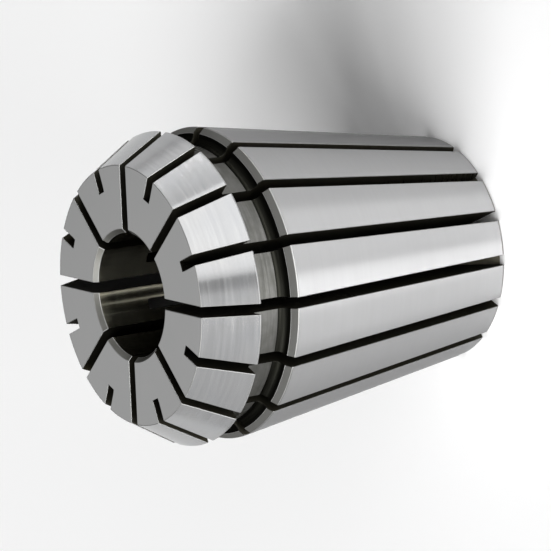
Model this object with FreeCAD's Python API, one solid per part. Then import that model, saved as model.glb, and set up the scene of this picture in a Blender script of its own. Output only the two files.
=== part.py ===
import FreeCAD, Part
import math
import os

# Spring collet with a double taper, turned, bored, slit, hardened and ground from one bar.
# It stands on its rear face, so Z = 0 is the rear face and the front face is at the top.
# The origin is the centre of the rear face. Lengths are in millimetres, angles in degrees.

# Overall
length = 40.0
bore_diameter = 13.0
bore_chamfer = 0.45

# Nose: the steep cone that the clamping nut presses on, and a narrow land behind it
face_diameter = 27.1
nose_diameter = 33.0
nose_half_angle = 30.0
nose_land = 0.2

# Extraction groove between the nose and the body
groove_depth = 1.65
groove_width = 3.78
groove_flank_lean = 10.0
nose_root_fillet = 0.2
body_root_fillet = 0.85

# Body: the long slow taper that seats in the tool holder
body_diameter = 33.0
body_half_angle = 8.0
body_chamfer = 0.6
rear_rounding = 0.3

# Small roundings where the ground surfaces meet
face_edge_rounding = 0.1
nose_edge_rounding = 0.1
body_edge_rounding = 0.2

# Slits, sawn from the outside: every second one is open at the front, the others at the rear
slits_per_end = 8
slit_width = 1.1
saw_diameter = 63.0
saw_reach_radius = 2.5
front_web_radius = 11.1
rear_web_radius = 11.45
saw_clearance = 1.0


def rounded_outline(corners):
    """Closed face in the XZ plane from (radius, height, rounding) corners."""
    points = [FreeCAD.Vector(radius, 0, height) for radius, height, rounding in corners]
    edges = []
    joints = []
    for index, (radius, height, rounding) in enumerate(corners):
        corner = points[index]
        before = (points[index - 1] - corner).normalize()
        after = (points[(index + 1) % len(points)] - corner).normalize()
        if rounding == 0:
            joints.append((corner, corner))
            continue
        half_turn = before.getAngle(after) / 2
        run = rounding / math.tan(half_turn)
        start = corner + before * run
        end = corner + after * run
        centre = corner + (before + after).normalize() * (rounding / math.sin(half_turn))
        middle = centre + (corner - centre).normalize() * rounding
        edges.append(Part.Arc(start, middle, end).toShape())
        joints.append((start, end))
    for index, (start, end) in enumerate(joints):
        following = joints[(index + 1) % len(joints)][0]
        edges.append(Part.LineSegment(end, following).toShape())
    return Part.Face(Part.Wire(Part.__sortEdges__(edges)))


def turned_blank():
    """The collet before slitting: one outline, turned about the Z axis."""
    bore = bore_diameter / 2
    face = face_diameter / 2
    nose = nose_diameter / 2
    body = body_diameter / 2
    neck = min(nose, body) - groove_depth
    mouth = bore + bore_chamfer

    nose_edge = length - (nose - face) / math.tan(math.radians(nose_half_angle))
    nose_back = nose_edge - nose_land
    groove_floor_end = nose_back - groove_width
    flank_top = body - body_chamfer
    flank_drop = (flank_top - neck) * math.tan(math.radians(groove_flank_lean))
    flank_end = groove_floor_end - flank_drop
    body_edge = flank_end - body_chamfer
    rear = body - body_edge * math.tan(math.radians(body_half_angle))

    section = rounded_outline([
        (bore, bore_chamfer, 0),
        (mouth, 0, 0),
        (rear, 0, rear_rounding),
        (body, body_edge, body_edge_rounding),
        (flank_top, flank_end, 0),
        (neck, groove_floor_end, body_root_fillet),
        (neck, nose_back, nose_root_fillet),
        (nose, nose_back, nose_edge_rounding),
        (nose, nose_edge, 0),
        (face, length, face_edge_rounding),
        (mouth, length, 0),
        (bore, length - bore_chamfer, 0),
    ])
    return section.revolve(FreeCAD.Vector(0, 0, 0), FreeCAD.Vector(0, 0, 1), 360).Solids[0]


def saw_cut(web_radius):
    """What the saw takes out of one slit that is open at the top and webbed at the bottom.

    The saw plunges inwards, runs out through the top, and stops where its rim leaves a web:
    the round end of the slit meets the bottom face at web_radius.
    """
    saw_radius = saw_diameter / 2
    centre_radius = saw_reach_radius + saw_radius
    outside = max(nose_diameter, body_diameter) / 2 + saw_clearance
    top = length + saw_clearance

    def rim_offset(radius):
        return math.sqrt(saw_radius ** 2 - (centre_radius - radius) ** 2)

    centre_height = rim_offset(web_radius)
    deepest = FreeCAD.Vector(saw_reach_radius, 0, centre_height)
    web_end = FreeCAD.Vector(web_radius, 0, 0)
    rim_outside = FreeCAD.Vector(outside, 0, centre_height - rim_offset(outside))
    top_outside = FreeCAD.Vector(outside, 0, top)
    top_inside = FreeCAD.Vector(saw_reach_radius, 0, top)

    outline = Part.Wire([
        Part.Arc(deepest, web_end, rim_outside).toShape(),
        Part.LineSegment(rim_outside, top_outside).toShape(),
        Part.LineSegment(top_outside, top_inside).toShape(),
        Part.LineSegment(top_inside, deepest).toShape(),
    ])
    cut = Part.Face(outline).extrude(FreeCAD.Vector(0, slit_width, 0))
    cut.translate(FreeCAD.Vector(0, -slit_width / 2, 0))
    return cut


def all_slits():
    """Slits in turn round the axis, open at the front, then at the rear."""
    axis_foot = FreeCAD.Vector(0, 0, 0)
    upwards = FreeCAD.Vector(0, 0, 1)
    middle = FreeCAD.Vector(0, 0, length / 2)
    front_slit = saw_cut(rear_web_radius)
    rear_slit = saw_cut(front_web_radius)
    rear_slit.rotate(middle, FreeCAD.Vector(1, 0, 0), 180)
    pitch = 360.0 / slits_per_end
    cuts = []
    for index in range(slits_per_end):
        cuts.append(front_slit.rotated(axis_foot, upwards, index * pitch))
        cuts.append(rear_slit.rotated(axis_foot, upwards, (index + 0.5) * pitch))
    return cuts


collet = turned_blank().cut(all_slits()).removeSplitter()

os.makedirs("parts", exist_ok=True)
collet.exportStep("parts/collet.step")
print("collet", "valid" if collet.isValid() else "not valid", "solids", len(collet.Solids),
      "faces", len(collet.Faces), "volume mm3", round(collet.Volume, 1))
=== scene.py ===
import math

import bpy
import numpy as np
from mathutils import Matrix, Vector


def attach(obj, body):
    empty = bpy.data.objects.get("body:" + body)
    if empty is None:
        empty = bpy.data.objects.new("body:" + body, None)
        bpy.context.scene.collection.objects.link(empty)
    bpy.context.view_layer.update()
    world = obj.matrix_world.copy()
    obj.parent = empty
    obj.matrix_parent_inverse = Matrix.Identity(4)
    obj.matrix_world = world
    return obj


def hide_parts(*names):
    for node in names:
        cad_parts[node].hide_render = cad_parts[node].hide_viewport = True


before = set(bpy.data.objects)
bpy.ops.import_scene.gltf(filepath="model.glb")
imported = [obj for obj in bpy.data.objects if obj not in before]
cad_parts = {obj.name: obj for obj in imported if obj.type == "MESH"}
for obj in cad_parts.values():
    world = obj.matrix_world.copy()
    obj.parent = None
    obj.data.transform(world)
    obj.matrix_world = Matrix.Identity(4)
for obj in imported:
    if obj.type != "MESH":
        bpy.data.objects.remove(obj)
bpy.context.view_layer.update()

# Sizes of the collet in millimetres, as in the solid that this piece stands for
MM = 0.001
LENGTH = 40.0
BORE = 6.5
BORE_CHAMFER = 0.45
FACE = 13.55
NOSE = 16.5
NOSE_ANGLE = math.radians(30)
NOSE_LAND = 0.2
GROOVE_DEPTH = 1.65
GROOVE_WIDTH = 3.78
GROOVE_LEAN = math.radians(10)
BODY = 16.5
BODY_ANGLE = math.radians(8)
BODY_CHAMFER = 0.6
SLITS_PER_END = 8
HALF_SLIT = 0.55
SAW_RADIUS = 31.5
SAW_REACH = 2.5
FRONT_WEB = 11.1
REAR_WEB = 11.45

# Roundings of the outline's corners, and the broken edges along the slits
SHARP = 0.08
MOUTH_ROUNDING = 0.1
REAR_ROUNDING = 0.3
BODY_EDGE_ROUNDING = 0.2
BODY_ROOT_FILLET = 0.85
NOSE_ROOT_FILLET = 0.2
NOSE_EDGE_ROUNDING = 0.1
FACE_EDGE_ROUNDING = 0.1
EDGE_BREAK = 0.06
BREAK_RUNOUT = 0.5

# Fineness of the mesh
ARC_STEP = math.radians(12)
FEWEST_ARC_STEPS = 2
RUNOUT_ROWS = 3
COLUMNS = 14
BREAK_STEPS = 3
WEB_STEPS = 3
SAW_STEPS = 14
MERGE_DECIMALS = 6

# How the marks of the tools are drawn
MARK_DETAIL = 4.0
BLOTCH_DETAIL = 3.0
NOISE_ROUGHNESS = 0.62
NOISE_MIDDLE = (0.3, 0.7)
ACROSS_THE_MARKS = 0.25
MIX_COLOURS = (6, 7)
MIX_RESULT = 2

# A sector reaches from a slit that is open at the front to the next one, open at the rear
SECTOR = math.pi / SLITS_PER_END

# The finish of each run of the outline, anticlockwise from the rear end of the bore
RUN_FINISH = [
    "mouth", "face", "taper", "chamfer", "flank", "groove",
    "flank", "nose", "nose", "face", "mouth", "bore",
]

# The runs that have a web's end on them
REAR_FACE_RUN = 1
FRONT_FACE_RUN = 9
BORE_RUN = 11

# The finishes whose edge breaks along the slits are near black, painted shade, and all finishes of
# the collet
PAINTED_SHADE_RUNS = ["chamfer", "flank", "groove", "bore"]
FINISHES = [
    "taper", "nose", "face", "chamfer", "groove", "flank", "mouth", "bore", "sawn", "edge",
]


def outline_corners():
    """Corners of the turned section as (radius, height, rounding), anticlockwise from the bore."""
    mouth = BORE + BORE_CHAMFER
    neck = min(NOSE, BODY) - GROOVE_DEPTH
    nose_edge = LENGTH - (NOSE - FACE) / math.tan(NOSE_ANGLE)
    nose_back = nose_edge - NOSE_LAND
    floor_end = nose_back - GROOVE_WIDTH
    flank_top = BODY - BODY_CHAMFER
    flank_end = floor_end - (flank_top - neck) * math.tan(GROOVE_LEAN)
    body_edge = flank_end - BODY_CHAMFER
    rear = BODY - body_edge * math.tan(BODY_ANGLE)
    return [
        (BORE, BORE_CHAMFER, MOUTH_ROUNDING),
        (mouth, 0.0, MOUTH_ROUNDING),
        (rear, 0.0, REAR_ROUNDING),
        (BODY, body_edge, BODY_EDGE_ROUNDING),
        (flank_top, flank_end, SHARP),
        (neck, floor_end, BODY_ROOT_FILLET),
        (neck, nose_back, NOSE_ROOT_FILLET),
        (NOSE, nose_back, NOSE_EDGE_ROUNDING),
        (NOSE, nose_edge, SHARP),
        (FACE, LENGTH, FACE_EDGE_ROUNDING),
        (mouth, LENGTH, MOUTH_ROUNDING),
        (BORE, LENGTH - BORE_CHAMFER, MOUTH_ROUNDING),
    ]


def rim_offset(along):
    """Height from the saw's centre to its rim, at a distance from the axis along the slit."""
    return math.sqrt(SAW_RADIUS ** 2 - (SAW_REACH + SAW_RADIUS - along) ** 2)


def web_height(along, web):
    """Height of a web over its own end face, at a distance from the axis along the slit."""
    return rim_offset(web) - rim_offset(along)


def along_slit(radius, beside):
    """Distance along the slit's plane of a point at this radius and this far beside it."""
    return math.sqrt(radius ** 2 - beside ** 2)


def run_stations():
    """Extra points on the straight runs: where the webs end, and where the edge breaks run out."""
    runout = [BREAK_RUNOUT * step / RUNOUT_ROWS for step in range(RUNOUT_ROWS + 1)]
    rear_face = math.hypot(REAR_WEB, HALF_SLIT)
    front_face = math.hypot(FRONT_WEB, HALF_SLIT)
    rear_bore = web_height(along_slit(BORE, HALF_SLIT), REAR_WEB)
    front_bore = LENGTH - web_height(along_slit(BORE, HALF_SLIT), FRONT_WEB)
    return {
        REAR_FACE_RUN: [(rear_face + gap, 0.0) for gap in runout],
        FRONT_FACE_RUN: [(front_face + gap, LENGTH) for gap in reversed(runout)],
        BORE_RUN: [(BORE, front_bore - gap) for gap in runout]
                  + [(BORE, rear_bore + gap) for gap in reversed(runout)],
    }


def outline_rows():
    """The outline as rows of (radius, height, normal radius, normal height), with run finishes."""
    corners = outline_corners()
    stations = run_stations()
    rows = []
    finish = []
    for index, (radius, height, rounding) in enumerate(corners):
        corner = np.array((radius, height))
        before = np.array(corners[index - 1][:2]) - corner
        after = np.array(corners[(index + 1) % len(corners)][:2]) - corner
        before /= np.linalg.norm(before)
        after /= np.linalg.norm(after)
        first = math.atan2(before[0], -before[1])
        last = math.atan2(-after[0], after[1])
        turn = (last - first + math.pi) % (2 * math.pi) - math.pi
        side = math.copysign(1, turn)
        start = corner + before * rounding * math.tan(abs(turn) / 2)
        centre = start - side * rounding * np.array((math.cos(first), math.sin(first)))
        steps = max(FEWEST_ARC_STEPS, math.ceil(abs(turn) / ARC_STEP))
        for step in range(steps + 1):
            angle = first + turn * step / steps
            normal = np.array((math.cos(angle), math.sin(angle)))
            rows.append((*(centre + side * rounding * normal), *normal))
            # Concave arcs, the fillets in the groove, take the near-black flank colour: painted
            # shade in the creases
            finish.append("edge" if side > 0 else "flank")
        finish[-1] = RUN_FINISH[index]
        for point in stations.get(index, []):
            rows.append((*point, *normal))
            finish.append(RUN_FINISH[index])
    return np.array(rows), finish


def break_widths(rows, web_first, web_last):
    """Width of the slit's edge break at each row: none at a web, and full a little way past it."""
    steps = np.linalg.norm(np.diff(rows[:, :2], axis=0), axis=1)
    distance = np.concatenate(([0.0], np.cumsum(steps)))
    to_web = np.minimum(np.abs(distance - distance[web_first]),
                        np.abs(distance - distance[web_last]))
    share = np.clip(to_web / BREAK_RUNOUT, 0, 1)
    return EDGE_BREAK * share * share * (3 - 2 * share)


def on_ring(radius, height, angle):
    """Point or direction in space, from its radial and axial parts and its angle."""
    return np.stack((radius * np.cos(angle), radius * np.sin(angle), height + 0 * angle), -1)


class Patches:
    """Collects faces with their own corner normals and finishes."""

    def __init__(self):
        self.points = []
        self.normals = []
        self.faces = []
        self.finishes = []

    def add(self, points, normals, faces, finishes):
        base = len(self.points)
        self.points.extend(points)
        self.normals.extend(normals)
        self.faces.extend([[base + corner for corner in face] for face in faces])
        self.finishes.extend(finishes)

    def add_grid(self, points, normals, row_finish):
        """Quads over rows and columns of points. row_finish holds one finish per row of quads."""
        rows, columns = points.shape[:2]
        faces = []
        finishes = []
        for row in range(rows - 1):
            for column in range(columns - 1):
                corner = row * columns + column
                faces.append([corner, corner + 1, corner + columns + 1, corner + columns])
                finishes.append(row_finish[row])
        self.add(points.reshape(-1, 3), normals.reshape(-1, 3), faces, finishes)

    def add_moved(self, other, move):
        """Adds another collection's faces, moved by a 3 by 3 matrix."""
        points = np.array(other.points) @ move.T
        normals = np.array(other.normals) @ move.T
        self.add(points, normals, other.faces, other.finishes)


def land_surface(rows, finish, left, right):
    """The turned and ground surface between two slits."""
    radius, height, normal_radius, normal_height = rows.T
    start = np.arcsin((HALF_SLIT + left) / radius)
    end = SECTOR - np.arcsin((HALF_SLIT + right) / radius)
    angle = start[:, None] + (end - start)[:, None] * np.linspace(0, 1, COLUMNS + 1)
    closed = np.r_[np.arange(len(rows)), 0]
    points = on_ring(radius[:, None], height[:, None], angle)[closed]
    normals = on_ring(normal_radius[:, None], normal_height[:, None], angle)[closed]
    patches = Patches()
    patches.add_grid(points, normals, finish)
    return patches


def slit_side(rows, finish, widths, web_first, web_last, web, end_height, inwards):
    """One wall of the slit whose plane is Y = 0, with its edge break and half of its web.

    web_first and web_last are the rows where the web begins and ends, going round the outline.
    web is how far from the axis the web ends on its end face, and end_height is the height of
    that face. inwards is 1 where the collet lies above that face, and -1 where it lies below.
    """
    count = len(rows)
    open_rows = np.arange(web_last, web_first + 1 + (count if web_first < web_last else 0)) % count
    web_rows = np.arange(web_first, web_last + 1 + (count if web_last < web_first else 0)) % count
    patches = Patches()

    # The rounded edge break
    radius, height, normal_radius, normal_height = rows[open_rows].T[:, :, None]
    width = widths[open_rows][:, None]
    phase = np.linspace(0, math.pi / 2, BREAK_STEPS + 1)
    depth = width * (1 - np.cos(phase))
    beside = HALF_SLIT + width * (1 - np.sin(phase))
    break_radius = radius - depth * normal_radius
    break_height = height - depth * normal_height
    angle = np.arcsin(beside / break_radius)
    points = on_ring(break_radius, break_height, angle)
    outwards = on_ring(normal_radius + 0 * angle, normal_height + 0 * angle, angle)
    to_slit = np.array((0.0, -1.0, 0.0))
    normals = np.cos(phase)[:, None] * outwards + np.sin(phase)[:, None] * to_slit
    normals /= np.linalg.norm(normals, axis=-1, keepdims=True)
    # In the chamfer, flank, groove and bore runs the break takes the near-black flank colour:
    # painted shade
    patches.add_grid(points, normals,
                     ["flank" if finish[row] in PAINTED_SHADE_RUNS else "edge" for row in open_rows])

    # The web's arc, left by the saw
    across = HALF_SLIT * np.linspace(1, 0, WEB_STEPS + 1)
    bore_end = np.array([along_slit(BORE, beside) for beside in across])
    along = web + (bore_end - web) * np.linspace(0, 1, SAW_STEPS + 1)[:, None]
    climb = np.array([[web_height(place, web) for place in line] for line in along])
    arc_points = np.stack((along, across + 0 * along, end_height + inwards * climb), -1)
    centre = SAW_REACH + SAW_RADIUS
    arc_normals = np.stack((centre - along, 0 * along, inwards * (rim_offset(web) - climb)), -1)
    arc_normals /= SAW_RADIUS
    patches.add_grid(arc_points, arc_normals, ["sawn"] * SAW_STEPS)

    # The flat wall inside the edge break, closed by the arc
    arc_rim = arc_points[1:-1, 0]
    wall = np.concatenate((points[:, -1], arc_rim if inwards < 0 else arc_rim[::-1]))
    patches.add(wall, np.tile(to_slit, (len(wall), 1)), [list(range(len(wall)))], ["sawn"])

    # The web's share of the turned surface
    radius, height, normal_radius, normal_height = rows[web_rows].T[:, :, None]
    angle = np.arcsin(across / radius)
    points = on_ring(radius, height, angle)
    normals = on_ring(normal_radius, normal_height, angle)
    points[0 if inwards < 0 else -1] = arc_points[0]
    points[-1 if inwards < 0 else 0] = arc_points[-1]
    patches.add_grid(points, normals, [finish[row] for row in web_rows])
    return patches


def turned(angle):
    """Matrix that turns about the collet's axis."""
    cosine, sine = math.cos(angle), math.sin(angle)
    return np.array(((cosine, -sine, 0), (sine, cosine, 0), (0, 0, 1)))


def open_mask(rows, web_first, web_last):
    """1 for the rows where the slit is open, and 0 from web_first round to web_last."""
    index = np.arange(len(rows))
    if web_first < web_last:
        inside = (index >= web_first) & (index <= web_last)
    else:
        inside = (index >= web_first) | (index <= web_last)
    return np.where(inside, 0.0, 1.0)


def collet_patches():
    """All sixteen sectors. Neighbours are mirror images, because every slit is a mirror plane."""
    rows, finish = outline_rows()
    stations = run_stations()

    def row_at(point):
        return int(np.argmin(np.linalg.norm(rows[:, :2] - point, axis=1)))

    rear_first, rear_last = row_at(stations[BORE_RUN][-1]), row_at(stations[REAR_FACE_RUN][0])
    front_first, front_last = row_at(stations[FRONT_FACE_RUN][-1]), row_at(stations[BORE_RUN][0])
    rear_widths = break_widths(rows, rear_first, rear_last)
    front_widths = break_widths(rows, front_first, front_last)
    mirror = np.diag((1.0, -1.0, 1.0))

    sector = Patches()
    front_slit = slit_side(rows, finish, rear_widths, rear_first, rear_last, REAR_WEB, 0.0, 1)
    rear_slit = slit_side(rows, finish, front_widths, front_first, front_last,
                          FRONT_WEB, LENGTH, -1)
    sector.add_moved(land_surface(rows, finish, rear_widths * open_mask(rows, rear_first, rear_last),
                                  front_widths * open_mask(rows, front_first, front_last)),
                     np.eye(3))
    sector.add_moved(front_slit, np.eye(3))
    sector.add_moved(rear_slit, turned(SECTOR) @ mirror)

    whole = Patches()
    for index in range(2 * SLITS_PER_END):
        if index % 2 == 0:
            whole.add_moved(sector, turned(index * SECTOR))
        else:
            whole.add_moved(sector, turned((index + 1) * SECTOR) @ mirror)
    return whole


def collet_mesh(materials):
    """One closed mesh with a material for each finish and exact normals at every corner."""
    patches = collet_patches()
    points = np.array(patches.points)
    normals = np.array(patches.normals)
    vertices, vertex_of = np.unique(points.round(MERGE_DECIMALS), axis=0, return_inverse=True)
    vertex_of = vertex_of.reshape(-1)
    faces = []
    corner_normals = []
    slots = []
    for face, finish in zip(patches.faces, patches.finishes):
        kept = [corner for place, corner in enumerate(face)
                if vertex_of[corner] != vertex_of[face[place - 1]]]
        if len(kept) < 3:
            continue
        spot = points[kept]
        area = np.cross(spot, np.roll(spot, -1, axis=0)).sum(axis=0)
        if area @ normals[kept].sum(axis=0) < 0:
            kept.reverse()
        faces.append([int(vertex_of[corner]) for corner in kept])
        corner_normals.extend(normals[kept])
        slots.append(FINISHES.index(finish))

    mesh = bpy.data.meshes.new("collet_surface")
    mesh.from_pydata(vertices * MM, [], faces)
    for finish in FINISHES:
        mesh.materials.append(materials[finish])
    mesh.polygons.foreach_set("material_index", slots)
    mesh.polygons.foreach_set("use_smooth", [True] * len(faces))
    mesh.normals_split_custom_set(corner_normals)
    mesh.update()
    return mesh


def add_node(owner, kind, inputs=None, **settings):
    """Adds a shader node to a material or the world.

    Each input gets a value, or a link where an output is given.
    """
    node = owner.node_tree.nodes.new("ShaderNode" + kind)
    for name, value in settings.items():
        setattr(node, name, value)
    for name, value in (inputs or {}).items():
        if isinstance(value, bpy.types.NodeSocket):
            owner.node_tree.links.new(value, node.inputs[name])
        else:
            node.inputs[name].default_value = value
    return node


def arithmetic(owner, operation, first, second):
    """The output of one sum on two values or outputs."""
    return add_node(owner, "Math", {0: first, 1: second}, operation=operation).outputs[0]


def spread(material, share, least, most):
    """Stretches the middle of a noise so that it runs from least to most."""
    inputs = {"Value": share, "From Min": NOISE_MIDDLE[0], "From Max": NOISE_MIDDLE[1],
              "To Min": least, "To Max": most}
    return add_node(material, "MapRange", inputs).outputs["Result"]


def noise(material, x, y, z, along, across, detail):
    """Soft noise with so many features per millimetre along x and y, and across them in z."""
    point = add_node(material, "CombineXYZ", {
        "X": arithmetic(material, "MULTIPLY", x, along / MM),
        "Y": arithmetic(material, "MULTIPLY", y, along / MM),
        "Z": arithmetic(material, "MULTIPLY", z, across / MM),
    }).outputs[0]
    inputs = {"Vector": point, "Scale": 1.0, "Detail": detail,
              "Roughness": NOISE_ROUGHNESS}
    return add_node(material, "TexNoise", inputs).outputs["Fac"]


def object_place(material):
    """The three parts of the place on the collet, and its distance from the axis."""
    place = add_node(material, "TexCoord").outputs["Object"]
    parts = add_node(material, "SeparateXYZ", {0: place}).outputs
    flat = add_node(material, "CombineXYZ", {"X": parts["X"], "Y": parts["Y"]}).outputs[0]
    radius = add_node(material, "VectorMath", {0: flat}, operation="LENGTH").outputs["Value"]
    return parts["X"], parts["Y"], parts["Z"], radius


def ring_marks(material, around, across):
    """Noise drawn out into rings about the axis, as from a turning tool or a grinding wheel."""
    x, y, z, radius = object_place(material)
    profile = arithmetic(material, "SUBTRACT", z, radius)
    return noise(material, x, y, profile, around, across, MARK_DETAIL)


def saw_marks(material, along, across):
    """Noise drawn out along the curved marks of the saw, on the walls of the slits."""
    x, y, z, radius = object_place(material)
    bow = arithmetic(material, "DIVIDE", arithmetic(material, "MULTIPLY", radius, radius),
                     2 * SAW_RADIUS * MM)
    height = arithmetic(material, "SUBTRACT", z, bow)
    return noise(material, x, y, height, along, across, MARK_DETAIL)


def blotches(material, size):
    """Noise of the same size in every direction, for stains and wear."""
    x, y, z, _ = object_place(material)
    return noise(material, x, y, z, 1 / size, 1 / size, BLOTCH_DETAIL)


def blend(material, share, first, second):
    """The output of a mix of two colours or outputs."""
    mix = add_node(material, "Mix", data_type="RGBA")
    material.node_tree.links.new(share, mix.inputs["Factor"])
    for index, colour in zip(MIX_COLOURS, (first, second)):
        if isinstance(colour, bpy.types.NodeSocket):
            material.node_tree.links.new(colour, mix.inputs[index])
        else:
            mix.inputs[index].default_value = (*colour, 1)
    return mix.outputs[MIX_RESULT]


def steel(name, marks, colours, stain, roughness, depth, stretch, glance):
    """Steel whose marks change its colour, its shine and its surface.

    marks is the kind of marks and how many there are per millimetre along and across them.
    colours and roughness are pairs, in the marks and between them. stain is a colour, how much
    of it there is, and the size of its blotches in millimetres. depth is that of the marks in
    millimetres. stretch is how far they draw a highlight out across them, and glance is how
    bright the steel stays where it is seen at a flat angle.
    """
    material = bpy.data.materials.new(name)
    material.use_nodes = True
    shader = material.node_tree.nodes["Principled BSDF"]
    links = material.node_tree.links
    kind, along, across = marks
    stain_colour, stain_share, stain_size = stain
    pattern = kind(material, along, across)
    patches = blotches(material, stain_size)
    metal = blend(material, spread(material, pattern, 0.0, 1.0), *colours)
    links.new(blend(material, spread(material, patches, 0.0, stain_share), metal, stain_colour),
              shader.inputs["Base Color"])
    links.new(spread(material, pattern, *roughness), shader.inputs["Roughness"])
    bump = add_node(material, "Bump", {"Height": pattern, "Distance": depth * MM, "Strength": 1.0})
    links.new(bump.outputs["Normal"], shader.inputs["Normal"])
    tangent = add_node(material, "Tangent", direction_type="RADIAL", axis="Z")
    links.new(tangent.outputs["Tangent"], shader.inputs["Tangent"])
    shader.inputs["Metallic"].default_value = 1.0
    shader.inputs["Specular Tint"].default_value = (glance, glance, glance, 1)
    shader.inputs["Anisotropic"].default_value = stretch
    shader.inputs["Anisotropic Rotation"].default_value = ACROSS_THE_MARKS
    return material


def collet_materials():
    """One material for each finish. The chamfer, groove, flank and sawn walls are far darker than
    the ground steel: painted shade.
    """
    return {
        "taper": steel(
            "ground_taper", marks=(ring_marks, 0.1, 2.5),
            colours=((0.38, 0.38, 0.382), (0.395, 0.395, 0.398)),
            stain=((0.37, 0.37, 0.375), 0.5, 9.0),
            roughness=(0.283, 0.3), depth=0.0001, stretch=1.0, glance=0.6),
        "nose": steel(
            "ground_nose", marks=(ring_marks, 0.12, 2.2),
            colours=((0.42, 0.42, 0.42), (0.48, 0.48, 0.48)),
            stain=((0.41, 0.42, 0.435), 0.6, 5.0),
            roughness=(0.12, 0.17), depth=0.002, stretch=0.5, glance=0.85),
        "face": steel(
            "ground_face", marks=(ring_marks, 0.2, 2.0),
            colours=((0.455, 0.455, 0.453), (0.47, 0.47, 0.468)),
            stain=((0.44, 0.448, 0.445), 0.5, 6.0),
            roughness=(0.12, 0.16), depth=0.0008, stretch=0.0, glance=0.8),
        # Painted shade: the chamfer is far darker than the ground steel
        "chamfer": steel(
            "chamfer_painted_shade", marks=(ring_marks, 0.15, 4.0),
            colours=((0.114, 0.114, 0.109), (0.142, 0.142, 0.136)),
            stain=((0.11, 0.108, 0.101), 0.5, 2.0),
            roughness=(0.85, 0.95), depth=0.002, stretch=0.0, glance=0.25),
        # Painted shade: the groove's neck is far darker than the ground steel
        "groove": steel(
            "groove_painted_shade", marks=(ring_marks, 0.2, 4.0),
            colours=((0.105, 0.105, 0.10), (0.165, 0.163, 0.157)),
            stain=((0.09, 0.09, 0.08), 0.7, 1.2),
            roughness=(0.35, 0.5), depth=0.003, stretch=0.5, glance=0.2),
        # Painted shade: the flank, the groove's fillets and the breaks beside them are near black,
        # far darker than the steel
        "flank": steel(
            "flank_painted_shade", marks=(ring_marks, 0.2, 4.0),
            colours=((0.006, 0.006, 0.005), (0.014, 0.014, 0.012)),
            stain=((0.008, 0.008, 0.006), 0.6, 1.5),
            roughness=(0.4, 0.5), depth=0.002, stretch=0.0, glance=0.05),
        "mouth": steel(
            "bored_mouth", marks=(ring_marks, 0.3, 3.0),
            colours=((0.10, 0.10, 0.094), (0.14, 0.14, 0.132)),
            stain=((0.10, 0.096, 0.085), 0.5, 1.5),
            roughness=(0.45, 0.55), depth=0.003, stretch=0.0, glance=0.2),
        "bore": steel(
            "bored_wall", marks=(ring_marks, 0.3, 3.0),
            colours=((0.175, 0.172, 0.137), (0.23, 0.226, 0.18)),
            stain=((0.165, 0.147, 0.106), 0.5, 2.5),
            roughness=(0.18, 0.22), depth=0.0005, stretch=1.0, glance=0.65),
        # Painted shade: the slit walls are near black, far darker than the steel
        "sawn": steel(
            "sawn_wall_painted_shade", marks=(saw_marks, 0.15, 2.5),
            colours=((0.038, 0.037, 0.029), (0.048, 0.046, 0.037)),
            stain=((0.042, 0.036, 0.023), 0.5, 2.0),
            roughness=(0.46, 0.5), depth=0.0001, stretch=0.0, glance=0.15),
        "edge": steel(
            "broken_edge", marks=(ring_marks, 0.5, 3.0),
            colours=((0.20, 0.20, 0.198), (0.27, 0.27, 0.268)),
            stain=((0.20, 0.20, 0.19), 0.5, 2.0),
            roughness=(0.45, 0.55), depth=0.001, stretch=0.0, glance=0.3),
    }


collet = bpy.data.objects.new("collet_ground", collet_mesh(collet_materials()))
bpy.context.collection.objects.link(collet)
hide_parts("collet")
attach(collet, "root")

# The studio: a pale floor under a pale surround, lamps far off, and a long lens.
# Directions are in degrees, round from +X and up from the floor.
FLOOR_HALF = 14.0
FLOOR_COLOUR = (0.95, 0.95, 0.95, 1)
LAMP_DISTANCE = 5.0
SURROUND = 0.8
AMBIENT = 0.04
DIM_PARTS = [
    {"azimuth": 115, "elevation": 20, "inner": 20, "outer": 90, "share": 0.86},
    {"azimuth": 77, "elevation": 10, "inner": 18, "outer": 31, "share": 0.15},
    {"azimuth": -79, "elevation": 28, "inner": 2, "outer": 9, "share": 0.55},
]
AIM = Vector((0, 0, 0.5 * LENGTH * MM))
LAMPS = {
    "key": {"azimuth": -140, "elevation": 50, "wide": 56, "tall": 22, "radiance": 9.0},
    "front_strip": {"azimuth": -93, "elevation": 3.5, "wide": 24, "tall": 6, "radiance": 72.0},
    "left_strip": {"azimuth": -119, "elevation": 3.5, "wide": 24, "tall": 6, "radiance": 18.0},
    "middle_strip": {"azimuth": -58, "elevation": 3.5, "wide": 40, "tall": 6, "radiance": 31.0},
    "right_strip": {"azimuth": -11, "elevation": 2.5, "wide": 62, "tall": 4, "radiance": 18.0},
    "nose_softbox": {"azimuth": -41, "elevation": 24, "wide": 62, "tall": 18, "radiance": 0.9},
    "nose_side": {"azimuth": 22, "elevation": 10, "wide": 84, "tall": 15, "radiance": 0.25},
}

# The camera: its place in metres, its turn in degrees, and its lens and sensor in millimetres
CAMERA_PLACE = (0.05527, -0.26165, 0.20267)
CAMERA_TURN = (-13.1264, 54.8343, -93.9226)
LENS = 198.16
SENSOR_WIDTH = 36
NEAREST_SEEN = 0.01


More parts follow.
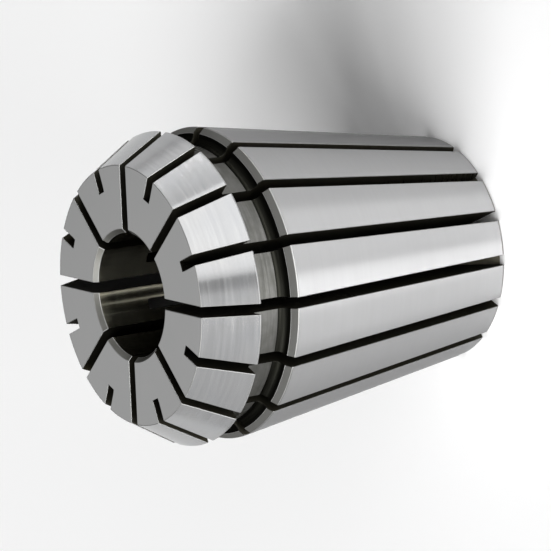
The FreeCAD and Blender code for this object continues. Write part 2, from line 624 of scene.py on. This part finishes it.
def pale_floor():
    """A wide flat floor that the collet stands on."""
    mesh = bpy.data.meshes.new("floor")
    corners = [(-FLOOR_HALF, -FLOOR_HALF, 0), (FLOOR_HALF, -FLOOR_HALF, 0),
               (FLOOR_HALF, FLOOR_HALF, 0), (-FLOOR_HALF, FLOOR_HALF, 0)]
    mesh.from_pydata(corners, [], [(0, 1, 2, 3)])
    floor = bpy.data.objects.new("floor", mesh)
    bpy.context.collection.objects.link(floor)
    material = bpy.data.materials.new("floor_pale")
    material.use_nodes = True
    shader = material.node_tree.nodes["Principled BSDF"]
    shader.inputs["Base Color"].default_value = FLOOR_COLOUR
    shader.inputs["Roughness"].default_value = 1.0
    mesh.materials.append(material)


def pointing(azimuth, elevation):
    """Unit vector in this direction, in degrees from +X and from the floor."""
    turn, lift = math.radians(azimuth), math.radians(elevation)
    return Vector((math.cos(turn) * math.cos(lift), math.sin(turn) * math.cos(lift), math.sin(lift)))


def pale_surround():
    """A pale surround with dimmer parts. It is seen and reflected, but sheds little light."""
    world = bpy.data.worlds.new("studio")
    world.use_nodes = True
    background = world.node_tree.nodes["Background"]
    direction = add_node(world, "TexCoord").outputs["Generated"]
    brightness = SURROUND
    for part in DIM_PARTS:
        facing = add_node(world, "VectorMath", {
            0: direction, 1: pointing(part["azimuth"], part["elevation"]),
        }, operation="DOT_PRODUCT").outputs["Value"]
        share = add_node(world, "MapRange", {
            "Value": facing,
            "From Min": math.cos(math.radians(part["outer"])),
            "From Max": math.cos(math.radians(part["inner"])),
            "To Min": 1.0, "To Max": part["share"],
        }, interpolation_type="SMOOTHSTEP").outputs["Result"]
        brightness = arithmetic(world, "MULTIPLY", share, brightness)
    seen = add_node(world, "LightPath").outputs
    shown = arithmetic(world, "MAXIMUM", seen["Is Camera Ray"], seen["Is Glossy Ray"])
    shown = arithmetic(world, "MAXIMUM", shown, seen["Is Transmission Ray"])
    strength = add_node(world, "MapRange", {
        "Value": shown, "To Min": AMBIENT, "To Max": brightness}).outputs["Result"]
    background.inputs["Color"].default_value = (1, 1, 1, 1)
    world.node_tree.links.new(strength, background.inputs["Strength"])
    bpy.context.scene.world = world


def panel(name, azimuth, elevation, wide, tall, radiance):
    """A soft lamp in this direction from the collet. wide and tall are angles in degrees."""
    towards = pointing(azimuth, elevation)
    data = bpy.data.lights.new(name, "AREA")
    data.shape = "RECTANGLE"
    data.size = 2 * LAMP_DISTANCE * math.tan(math.radians(wide / 2))
    data.size_y = 2 * LAMP_DISTANCE * math.tan(math.radians(tall / 2))
    data.energy = radiance * math.pi * data.size * data.size_y
    lamp = bpy.data.objects.new(name, data)
    lamp.location = AIM + towards * LAMP_DISTANCE
    lamp.rotation_euler = towards.to_track_quat("Z", "Y").to_euler()
    bpy.context.collection.objects.link(lamp)


pale_floor()
pale_surround()
for lamp_name, lamp in LAMPS.items():
    panel(lamp_name, **lamp)

camera_data = bpy.data.cameras.new("camera")
camera_data.sensor_width = SENSOR_WIDTH
camera_data.lens = LENS
camera_data.clip_start = NEAREST_SEEN
camera = bpy.data.objects.new("camera", camera_data)
camera.location = CAMERA_PLACE
camera.rotation_euler = [math.radians(angle) for angle in CAMERA_TURN]
bpy.context.collection.objects.link(camera)
bpy.context.scene.camera = camera
bpy.context.scene.view_settings.view_transform = "Standard"
